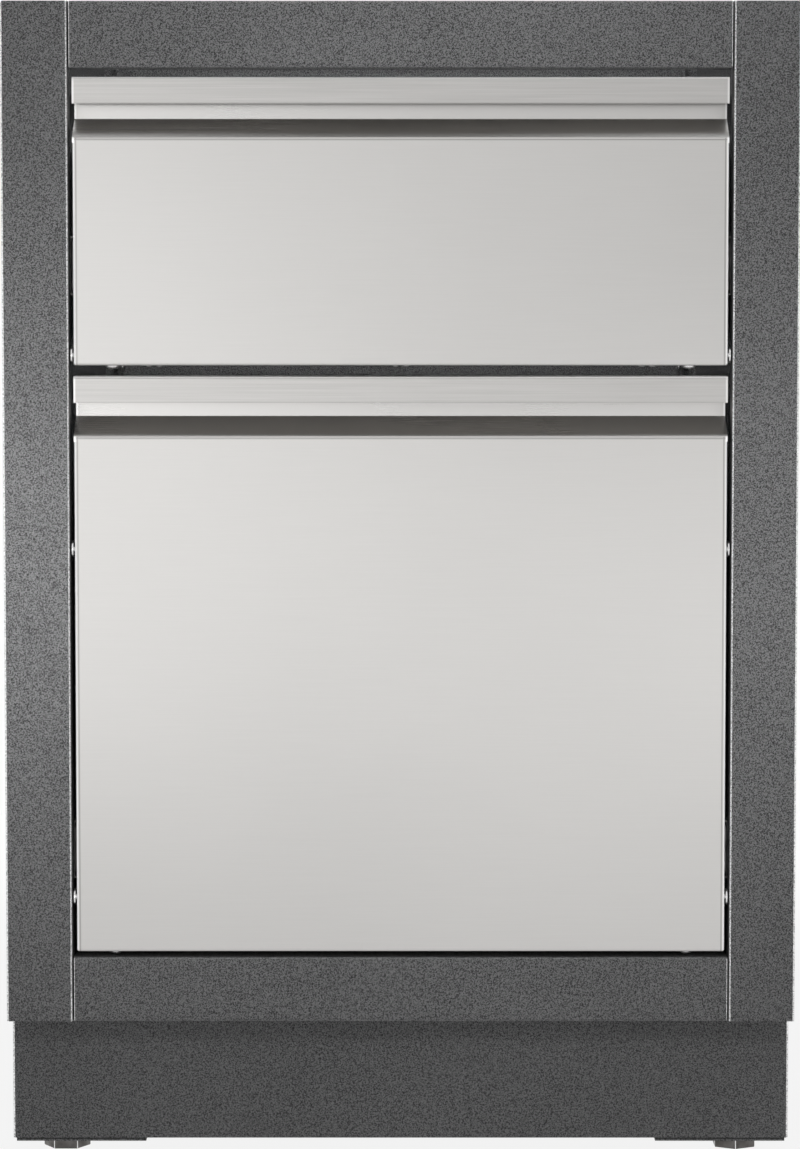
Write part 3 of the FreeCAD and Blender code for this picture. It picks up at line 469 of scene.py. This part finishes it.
bright = bright_steel("bright_stainless_fasteners")
low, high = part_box("back_panel")
screws = bmesh.new()
lowest = low.z + BACK_SCREW_INSET
rise = (high.z - BACK_SCREW_INSET - lowest) / (BACK_SCREWS_PER_SIDE - 1)
for side, inner_face in ((-1, low.x + SHEET), (1, high.x - SHEET)):
    for number in range(BACK_SCREWS_PER_SIDE):
        seat = (inner_face, (low.y + high.y) / 2, lowest + rise * number)
        cross_screw(screws, seat, (-side, 0, 0), **BACK_SCREW)
piece("back_cross_screws", screws, bright, "cabinet", "stainless_fasteners", "back_panel_screws")


# Slide liners: sheets inside the posts that carry the drawer slides, in a smooth enamel painted
# near black as painted shade for the dark inside, with dust. They stand on the floor panel and are
# bent out to the side panels at the back.
LINER_SHADE = (0.020, 0.0202, 0.0205, 1)
LINER_DUSTY_SHADE = (0.034, 0.0342, 0.0345, 1)
DUST_SIZE = 0.02
ENAMEL_WAVE = 0.003
ENAMEL_DEPTH = 0.000004
ENAMEL_ROUGHNESS = 0.14
DUST_DULL = 0.08


def shade_dark_enamel(name):
    material, start = open_finish(name)
    place = start.node("ShaderNodeTexCoord", output="Object")
    dust = noise(start, place, DUST_SIZE, detail=5)
    skin = noise(start, place, ENAMEL_WAVE)
    close_finish(
        start, Base_Color=dust.tint(LINER_SHADE, LINER_DUSTY_SHADE),
        Normal=relief(start, skin, ENAMEL_DEPTH),
        Roughness=ENAMEL_ROUGHNESS + DUST_DULL * dust,
    )
    return material


# The liners' near-black tone is painted shade.
dress(shade_dark_enamel("liner_enamel_painted_shade"), "left_slide_liner", "right_slide_liner")


# Ball slides: three nested channels of zinc-plated steel with two ball cages between them.
# The outer rail is riveted to the liner, and the runner is screwed to the drawer box.
DRAWERS = {"upper": "upper_drawer", "lower": "lower_drawer"}
SIDES = {"left": -1, "right": 1}
RIVET = {"head_radius": 0.0045, "head_height": 0.0016, "shank_radius": 0.0024, "reach": 0.0024}
RIVET_INSET = 0.035
PIN_HOLE = 0.36
RUNNER_SCREW = {
    "head_radius": 0.0035, "head_height": 0.0018, "shank_radius": 0.002, "reach": 0.0024,
}
RUNNER_SCREW_INSET = 0.060


def blind_rivet(shape, seat, outward, head_radius, head_height, **size):
    """A domed rivet with the round hole that its pulled pin leaves."""
    hole = head_radius * PIN_HOLE
    part = bmesh.new()
    outline = domed_outline(hole, head_radius, head_height, **size)
    lathe(part, [(0, -head_height / 2), (hole, -head_height / 2)] + outline)
    set_in(shape, part, seat, outward)


rivets = bmesh.new()
for drawer, body in DRAWERS.items():
    runner_screws = bmesh.new()
    for side, sign in SIDES.items():
        dress(zinc, f"{drawer}_{side}_slide_rail", f"{drawer}_{side}_runner")
        low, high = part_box(f"{drawer}_{side}_slide_rail")
        middle = (low + high) / 2
        liner_back = max(abs(low.x), abs(high.x)) + SHEET
        low_wall, high_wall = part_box(f"{drawer}_box_{side}")
        box_inside = max(abs(low_wall.x), abs(high_wall.x)) - SHEET
        for y in (low.y + RIVET_INSET, high.y - RIVET_INSET):
            blind_rivet(rivets, (sign * liner_back, y, middle.z), (sign, 0, 0), **RIVET)
        for y in (low.y + RUNNER_SCREW_INSET, high.y - RUNNER_SCREW_INSET):
            seat = (sign * box_inside, y, middle.z)
            cross_screw(runner_screws, seat, (-sign, 0, 0), **RUNNER_SCREW)
    for part in ("slide_middles", "outer_ball_cages", "inner_ball_cages"):
        dress(zinc, f"{drawer}_{part}")
    piece(
        f"{drawer}_runner_cross_screws", runner_screws, bright, body, "stainless_fasteners",
        f"{drawer}_runner_screws",
    )
piece("slide_blind_rivets", rivets, bright, "cabinet", "stainless_fasteners", "slide_rivets")


# Drawer boxes: painted sheet channels for the sides, with a bottom laid on their flanges, a back
# under their rims and an inner front with three flanges.
for drawer in DRAWERS:
    for wall in ("front", "left", "right", "bottom", "back"):
        dress(charcoal, f"{drawer}_box_{wall}")


# Drawer fronts: stainless sheet, brushed along its width and bent into a shallow pan whose top edge
# runs on into a full-width finger pull. The lip is finished last, with a coarser belt.
# Their colour carries painted highlights at the bends, painted shade along the folds and under the
# lip, and painted light on the slope.
GRAIN_LENGTH = 0.05
GRAIN_WIDTH = 0.00045
LIP_HEIGHT = 0.0202
SLOPE_DROP = 0.0316
PANEL_DROP = 0.046
BEND = 0.002
FOLD_LINE = 0.0008
LIP_FOOT_SHADE = 0.5
LIP_HIGHLIGHT_DIM = 0.55
STREAK_SIZE = 3.0
CLOUD_SIZE = 0.25
GRAIN_DEPTH = 0.000004
PANEL_GRAIN = 0.5
LIP_GRAIN = 0.4
STEEL_ROUGHNESS = 0.27
GRAIN_DULL = 0.08
CLOUD_DULL = 0.03
POCKET_GLOSS = 0.05
BEND_ROUGHNESS = 0.3
STEEL_ANISOTROPY = 0.6
STEEL_DARK = (0.490, 0.482, 0.471, 1)
STEEL_LIGHT = (0.585, 0.575, 0.562, 1)
LIP_DARK = (0.37, 0.363, 0.353, 1)
LIP_LIGHT = (0.585, 0.574, 0.561, 1)
# Near-white painted highlight for the side bends, the lip's top bend and the foot of the slope.
STEEL_PAINTED_HIGHLIGHT = (0.98, 0.977, 0.97, 1)
# Dark painted shade for lines along the folds and under the lip.
STEEL_PAINTED_SHADE = (0.30, 0.294, 0.285, 1)
# Lighter tone on the slope as painted light, lifting the shade in the finger pull.
STEEL_SLOPE_PAINTED_LIGHT = (0.74, 0.722, 0.70, 1)
SLOPE_LIGHT_FADE = {"upper": 0.0062, "lower": 0.0022}
CREST = 0.0012
POCKET_CALM = 0.93


def brushed_steel(name, half_width, top, slope_light_fade):
    """Brushed sheet with painted highlights at its side bends and the lip's top bend, painted light
    on the slope, painted shade along its folds and under the lip, and calmer grain in the finger
    pull.
    """
    material, start = open_finish(name)
    place = start.node("ShaderNodeTexCoord", output="Object")
    stretch = (1 / GRAIN_LENGTH, 1 / GRAIN_WIDTH, 1 / GRAIN_WIDTH)
    along = start.node("ShaderNodeMapping", inputs={"Vector": place, "Scale": stretch})
    grain = noise(start, along, 1.0, detail=3)
    streaks = noise(start, along, STREAK_SIZE, detail=2)
    cloud = noise(start, place, CLOUD_SIZE)
    across = start.node("ShaderNodeSeparateXYZ", inputs={"Vector": place}, output="X")
    side = across.math("ABSOLUTE", across)
    height = across.beside("Z")
    lip = height.between(top - LIP_HEIGHT - MERGE, top - LIP_HEIGHT + MERGE)
    # Painted highlight along the side bends, dimmed in the finger pull.
    edge = side.between(half_width - BEND, half_width - BEND / 2)
    panel_top = top - PANEL_DROP
    # Painted shade: dark lines just inside the side bends and below the panel's top bend, and a
    # painted shadow under the lip.
    below = 1 - height.between(panel_top - FOLD_LINE, panel_top)
    fold_shade = below * side.near(half_width - BEND - FOLD_LINE, FOLD_LINE)
    fold_shade = fold_shade.math("MAXIMUM", fold_shade, height.near(panel_top - 2 * FOLD_LINE, FOLD_LINE))
    lip_foot_shadow = height.near(top - LIP_HEIGHT + FOLD_LINE / 2, FOLD_LINE)
    fold_shade = fold_shade.math("MAXIMUM", fold_shade, lip_foot_shadow * LIP_FOOT_SHADE)
    above = height.between(panel_top, panel_top + FOLD_LINE)
    slope = above - height.between(top - SLOPE_DROP, top - SLOPE_DROP + MERGE)
    # Painted light at the foot of the slope, fading upward.
    foot = slope * (1 - height.between(panel_top, panel_top + slope_light_fade))
    # Painted highlight on the lip's top bend.
    crest_highlight = height.between(top - CREST, top - CREST / 2)
    edge = edge * (1 - LIP_HIGHLIGHT_DIM * above)
    steel_highlight = edge.math("MAXIMUM", edge.math("MAXIMUM", edge, crest_highlight), foot)
    pocket = above - lip
    calm = grain + (0.5 - grain) * pocket * POCKET_CALM
    panel = (calm * PANEL_GRAIN + cloud * (1 - PANEL_GRAIN)).tint(STEEL_DARK, STEEL_LIGHT)
    belt = (grain * LIP_GRAIN + streaks * (1 - LIP_GRAIN)).tint(LIP_DARK, LIP_LIGHT)
    # The slope's lighter tone is painted light. The fold lines are painted shade.
    flat = fold_shade.tint(slope.tint(lip.tint(panel, belt), STEEL_SLOPE_PAINTED_LIGHT), STEEL_PAINTED_SHADE)
    brushed = STEEL_ROUGHNESS + GRAIN_DULL * calm + CLOUD_DULL * cloud
    close_finish(
        start, Base_Color=steel_highlight.tint(flat, STEEL_PAINTED_HIGHLIGHT), Metallic=1.0,
        Normal=relief(start, calm, GRAIN_DEPTH), Anisotropic=STEEL_ANISOTROPY,
        Roughness=brushed - POCKET_GLOSS * pocket + BEND_ROUGHNESS * foot + BEND_ROUGHNESS * crest_highlight,
    )
    return material


for drawer in DRAWERS:
    low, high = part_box(f"{drawer}_front")
    steel = brushed_steel(f"{drawer}_brushed_stainless", high.x, high.z, SLOPE_LIGHT_FADE[drawer])
    dress(steel, f"{drawer}_front")


# Front fixings: pan-head screws and pairs of rivets up through the fronts' bottom returns, and
# large low screws that stand on a short neck at their sides, all of bright stainless steel.
PAN_SCREW = {"head_radius": 0.0055, "head_height": 0.003, "shank_radius": 0.0025, "reach": 0.007}
PAN_SCREW_INSET = 0.0295
SIDE_SCREW = {
    "head_radius": 0.0065, "head_height": 0.0018, "shank_radius": 0.0023, "reach": 0.006,
    "neck": 0.0011, "rim": 0.0011,
}
SIDE_SCREW_RISES = {"upper": [0.008], "lower": [0.042, 0.312]}
FRONT_RIVET = {
    "head_radius": 0.0026, "head_height": 0.0012, "shank_radius": 0.0016, "reach": 0.0024,
}
FRONT_RIVET_INSET = 0.0615
FRONT_RIVET_PITCH = 0.008
FIXING_INSET = 0.009

for drawer, body in DRAWERS.items():
    low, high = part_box(f"{drawer}_front")
    fixings = bmesh.new()
    y = low.y + FIXING_INSET
    for sign in SIDES.values():
        cross_screw(fixings, (sign * (high.x - PAN_SCREW_INSET), y, low.z), (0, 0, -1), **PAN_SCREW)
        for rise in SIDE_SCREW_RISES[drawer]:
            cross_screw(fixings, (sign * high.x, y, low.z + rise), (sign, 0, 0), **SIDE_SCREW)
    outer_pair = high.x - FRONT_RIVET_INSET
    for x in (-outer_pair, 0, outer_pair):
        for step in (-FRONT_RIVET_PITCH / 2, FRONT_RIVET_PITCH / 2):
            blind_rivet(fixings, (x + step, y, low.z), (0, 0, -1), **FRONT_RIVET)
    piece(
        f"{drawer}_front_screws_and_rivets", fixings, bright, body, "stainless_fasteners",
        f"{drawer}_front_fasteners",
    )


# Trash bin: a drafted pail of black moulded plastic with a flat rim, standing between two bent
# stops on the lower drawer's bottom.
BIN_WALL = 0.0025
BIN_RIM = 0.012
BIN_RIM_DEPTH = 0.004
BIN_CORNER = 0.030
BIN_DRAFT = 0.014
BIN_FOOT_ROUND = 0.008
BIN_RIM_ROUND = 0.001
BIN_CORNER_STEPS = 10
BIN_ROUND_STEPS = 4
BIN_BLACK = (0.032, 0.032, 0.034, 1)
BIN_SCUFFED = (0.085, 0.085, 0.088, 1)
BIN_GRAIN_SIZE = 0.0008
BIN_GRAIN_DEPTH = 0.00003
SCUFF_SIZE = 0.03
SCUFF_BAND = (0.5, 0.8)
SCUFF_SHARE = 0.7
BIN_LEVEL_SHARE = 0.2
BIN_UPRIGHT_SHARE = 0.1
BIN_ROUGHNESS = 0.42
SCUFF_DULL = 0.15
BIN_GRAIN_DULL = 0.08


def moulded_plastic(name):
    material, start = open_finish(name)
    place = start.node("ShaderNodeTexCoord", output="Object")
    grain = noise(start, place, BIN_GRAIN_SIZE, detail=3)
    scuffs = noise(start, place, SCUFF_SIZE, detail=6).between(*SCUFF_BAND)
    upright, level = bends(start)
    tone = scuffs * SCUFF_SHARE + level * BIN_LEVEL_SHARE + upright * BIN_UPRIGHT_SHARE
    close_finish(
        start, Base_Color=tone.tint(BIN_BLACK, BIN_SCUFFED),
        Normal=relief(start, grain, BIN_GRAIN_DEPTH),
        Roughness=BIN_ROUGHNESS + SCUFF_DULL * scuffs + BIN_GRAIN_DULL * grain,
    )
    return material


def lift(shape, face, rise, growth):
    """Extrude a level face by a rise, let it grow all round, and give its new place."""
    lifted = bmesh.ops.extrude_face_region(shape, geom=[face])["geom"]
    corners = [item for item in lifted if isinstance(item, bmesh.types.BMVert)]
    half = [max(corner.co[axis] for corner in corners) for axis in (0, 1)]
    bmesh.ops.translate(shape, verts=corners, vec=(0, 0, rise))
    bmesh.ops.scale(shape, verts=corners, vec=(1 + growth / half[0], 1 + growth / half[1], 1))
    return next(item for item in lifted if isinstance(item, bmesh.types.BMFace))


def sharp_edges_at(shape, height):
    """The level edges at a height where two faces meet at an angle."""
    edges = [edge for edge in level_edges(shape.edges) if abs(edge.verts[0].co.z - height) < MERGE]
    return [edge for edge in edges if edge.calc_face_angle(0) > CREASE]


low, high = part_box("trash_bin")
middle = (low + high) / 2
size = high - low
pail = bmesh.new()
bmesh.ops.create_grid(pail, x_segments=1, y_segments=1, size=0.5)
foot_inset = 2 * (BIN_RIM + BIN_DRAFT)
bmesh.ops.scale(pail, verts=pail.verts, vec=(size.x - foot_inset, size.y - foot_inset, 1))
ease(pail, pail.verts[:], BIN_CORNER, BIN_CORNER_STEPS, affect="VERTICES")
pail.faces.ensure_lookup_table()
outer_wall = lift(pail, pail.faces[0], size.z - BIN_RIM_DEPTH, BIN_DRAFT)
rim_underside = lift(pail, outer_wall, 0, BIN_RIM)
rim_top = lift(pail, rim_underside, BIN_RIM_DEPTH, 0)
mouth = lift(pail, rim_top, 0, -BIN_RIM - BIN_WALL)
lift(pail, mouth, BIN_WALL - size.z, -BIN_DRAFT)
bmesh.ops.recalc_face_normals(pail, faces=pail.faces)
rounds = ((0, BIN_FOOT_ROUND), (BIN_WALL, BIN_FOOT_ROUND - BIN_WALL), (size.z, BIN_RIM_ROUND))
for height, radius in rounds:
    ease(pail, sharp_edges_at(pail, height), radius, BIN_ROUND_STEPS)
bmesh.ops.translate(pail, verts=pail.verts, vec=(middle.x, middle.y, low.z))
plastic = moulded_plastic("black_moulded_plastic")
piece("moulded_bin", pail, plastic, "lower_drawer", "bin_plastic", "trash_bin")
dress(zinc, "bin_stops")


# Studio: a white sweep with a soft shadow, and a softbox close to each post. Two strips and a toned
# card in front are there for the steel to mirror. Small lamps that it doesn't mirror light the top
# rail, the inside, the front and the rear.
FLOOR_SIZE = 40
FLOOR_WHITE = (0.9, 0.9, 0.9, 1)
WORLD_FILL = 0.22
WHITE = (1, 1, 1, 1)
GLOW_BELOW = 0.88
GLOW_REACH = (0.6, 1.8)
CARD_WIDTH = 1.5
CARD_HEIGHT = 1.6
CARD_PLACE = (0.65, -3.7, 1.25)
CARD_GREY = (0.72, 0.72, 0.72, 1)


def seen_directly(start):
    """1 for rays from the camera, mirrors and glass, 0 for light on the object."""
    path = start.node("ShaderNodeLightPath", output="Is Camera Ray")
    seen = path + path.beside("Is Glossy Ray") + path.beside("Is Transmission Ray")
    return seen.math("MINIMUM", seen, 1)


world = bpy.data.worlds.new("studio")
bpy.context.scene.world = world
world.use_nodes = True
world.node_tree.nodes.clear()
sky = Wire(world.node_tree)
strength = WORLD_FILL + (1 - WORLD_FILL) * seen_directly(sky)
backdrop = sky.node("ShaderNodeBackground", inputs={"Color": WHITE, "Strength": strength})
sky.node("ShaderNodeOutputWorld", inputs={"Surface": backdrop})

floor_shape = bmesh.new()
bmesh.ops.create_grid(floor_shape, x_segments=1, y_segments=1, size=FLOOR_SIZE / 2)
floor_mesh = bpy.data.meshes.new("floor")
floor_shape.to_mesh(floor_mesh)
floor_shape.free()
floor = bpy.data.objects.new("floor", floor_mesh)
bpy.context.scene.collection.objects.link(floor)
sweep, start = open_finish("white_sweep")
place = start.node("ShaderNodeTexCoord", output="Object")
reach = start.node("ShaderNodeVectorMath", {"operation": "LENGTH"}, {0: place}, "Value")
glow = seen_directly(start) * (GLOW_BELOW + (1 - GLOW_BELOW) * reach.between(*GLOW_REACH))
matte = start.node("ShaderNodeBsdfDiffuse", inputs={"Color": FLOOR_WHITE})
white = start.node("ShaderNodeEmission", inputs={"Color": WHITE, "Strength": 1.0})
surface = start.node("ShaderNodeMixShader", inputs={0: glow, 1: matte, 2: white})
start.node("ShaderNodeOutputMaterial", inputs={"Surface": surface})
floor_mesh.materials.append(sweep)

card_shape = bmesh.new()
bmesh.ops.create_grid(card_shape, x_segments=1, y_segments=1, size=0.5)
bmesh.ops.scale(card_shape, verts=card_shape.verts, vec=(CARD_WIDTH, CARD_HEIGHT, 1))
upright = Matrix.Rotation(math.pi / 2, 3, "X")
bmesh.ops.rotate(card_shape, verts=card_shape.verts, cent=(0, 0, 0), matrix=upright)
bmesh.ops.translate(card_shape, verts=card_shape.verts, vec=CARD_PLACE)
card_mesh = bpy.data.meshes.new("toned_card")
card_shape.to_mesh(card_mesh)
card_shape.free()
card = bpy.data.objects.new("toned_card", card_mesh)
card.visible_camera = False
card.visible_diffuse = False
card.visible_shadow = False
bpy.context.scene.collection.objects.link(card)
toned, start = open_finish("toned_card")
place = start.node("ShaderNodeTexCoord", output="Object")
across = start.node("ShaderNodeSeparateXYZ", inputs={"Vector": place}, output="X")
fade = across.between(CARD_PLACE[0] - CARD_WIDTH / 2, CARD_PLACE[0])
pale = start.node("ShaderNodeEmission", inputs={"Color": WHITE})
grey = start.node("ShaderNodeEmission", inputs={"Color": CARD_GREY})
surface = start.node("ShaderNodeMixShader", inputs={0: fade, 1: pale, 2: grey})
start.node("ShaderNodeOutputMaterial", inputs={"Surface": surface})
card_mesh.materials.append(toned)


def lamp(name, place, target, width, height, power, spread=180, mirrored=True):
    """A soft rectangular lamp that faces a target, its beam narrowed to a spread in degrees."""
    light = bpy.data.lights.new(name, "AREA")
    light.shape = "RECTANGLE"
    light.size = width
    light.size_y = height
    light.energy = power
    light.spread = math.radians(spread)
    item = bpy.data.objects.new(name, light)
    item.location = place
    item.rotation_euler = (Vector(target) - Vector(place)).to_track_quat("-Z", "Y").to_euler()
    item.visible_camera = False
    item.visible_glossy = mirrored
    bpy.context.scene.collection.objects.link(item)


lamp(
    "left_softbox", place=(-0.656, -0.772, 0.485), target=(-0.28, -0.305, 0.485),
    width=0.25, height=0.32, power=0.48, spread=50, mirrored=False,
)
lamp(
    "right_softbox", place=(0.656, -0.772, 0.455), target=(0.28, -0.305, 0.455),
    width=0.25, height=0.30, power=0.20, spread=50, mirrored=False,
)
lamp(
    "left_strip", place=(-0.55, -2.6, 0.45), target=(-0.25, -0.305, 0.5),
    width=0.25, height=1.0, power=2.4,
)
lamp(
    "right_strip", place=(0.55, -2.6, 0.2), target=(0.25, -0.305, 0.4),
    width=0.2, height=0.4, power=0.7,
)
lamp(
    "rail_light", place=(0, -1.2, 2.2), target=(0, -0.305, 0.85),
    width=0.25, height=0.25, power=0.9, spread=40, mirrored=False,
)
lamp(
    "inner_light", place=(0, -0.7, 2.1), target=(0, 0.3, 0.78),
    width=0.3, height=0.2, power=0.65, spread=35, mirrored=False,
)
lamp(
    "high_fill", place=(0, -2.6, 1.3), target=(0, -0.305, 0.6),
    width=0.4, height=0.3, power=5.9, mirrored=False,
)
lamp(
    "rear_fill", place=(0, 3.6, 1.3), target=(0, 0.305, 0.5),
    width=0.6, height=0.4, power=14, mirrored=False,
)
lamp(
    "front_fill", place=(0, -3.6, 0.73), target=(0, -0.305, 0.6),
    width=0.05, height=0.05, power=6.5, mirrored=False,
)


# Camera: at chest height, straight in front and tipped down a little, with a long lens.
CAMERA_PLACE = (-0.0005, -3.605, 0.73)
CAMERA_TIP_DOWN = math.radians(4.62)
CAMERA_LENS = 135.03
CAMERA_SENSOR = 36

view = bpy.data.cameras.new("photo_view")
view.sensor_fit = "VERTICAL"
view.sensor_height = CAMERA_SENSOR
view.lens = CAMERA_LENS
camera = bpy.data.objects.new("photo_view", view)
camera.location = CAMERA_PLACE
camera.rotation_euler = (math.pi / 2 - CAMERA_TIP_DOWN, 0, 0)
bpy.context.scene.collection.objects.link(camera)
bpy.context.scene.camera = camera
bpy.context.scene.view_settings.view_transform = "Standard"
